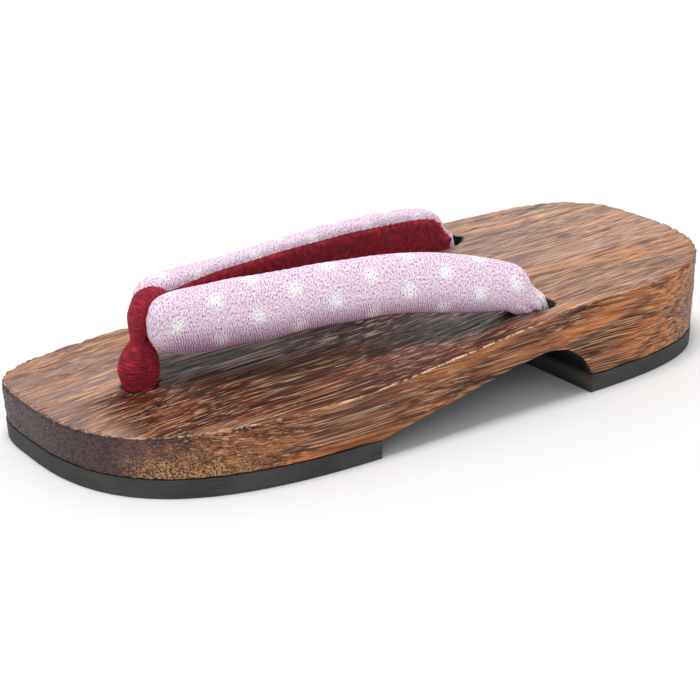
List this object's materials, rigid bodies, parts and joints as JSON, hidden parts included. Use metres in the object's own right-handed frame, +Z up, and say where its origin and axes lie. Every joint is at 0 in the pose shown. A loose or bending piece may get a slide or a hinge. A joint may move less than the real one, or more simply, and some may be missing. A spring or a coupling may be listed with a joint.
{
  "type": "geta sandal",
  "caption": "Left low wooden sandal with an arched sole, rubber bearing pads and a padded forked strap held by a toe loop.",
  "frame": {"origin": "centre of the bounding box on the plane that the rubber pads stand on", "axes": "+Z up; +Y from toe to heel along the sole; +X towards the outer side of the foot"},
  "size_m": [0.093, 0.24, 0.0539],
  "materials": {
    "scorched_wood": "scorched and wire-brushed, dark streaks over golden grain, thin satin wax",
    "black_rubber": "matt foamed rubber with fine scuffs",
    "lilac_crepe": "ribbed crepe in lilac and white with soft white dots",
    "red_velvet": "crimson ribbed velvet with a short pile"
  },
  "bodies": {
    "root": {"wood_body": "scorched_wood", "front_rubber_pad": "black_rubber", "heel_rubber_pad": "black_rubber", "strap_upper": "lilac_crepe", "strap_lining_outer": "red_velvet", "strap_lining_inner": "red_velvet", "toe_loop": "red_velvet"}
  },
  "joints": []
}
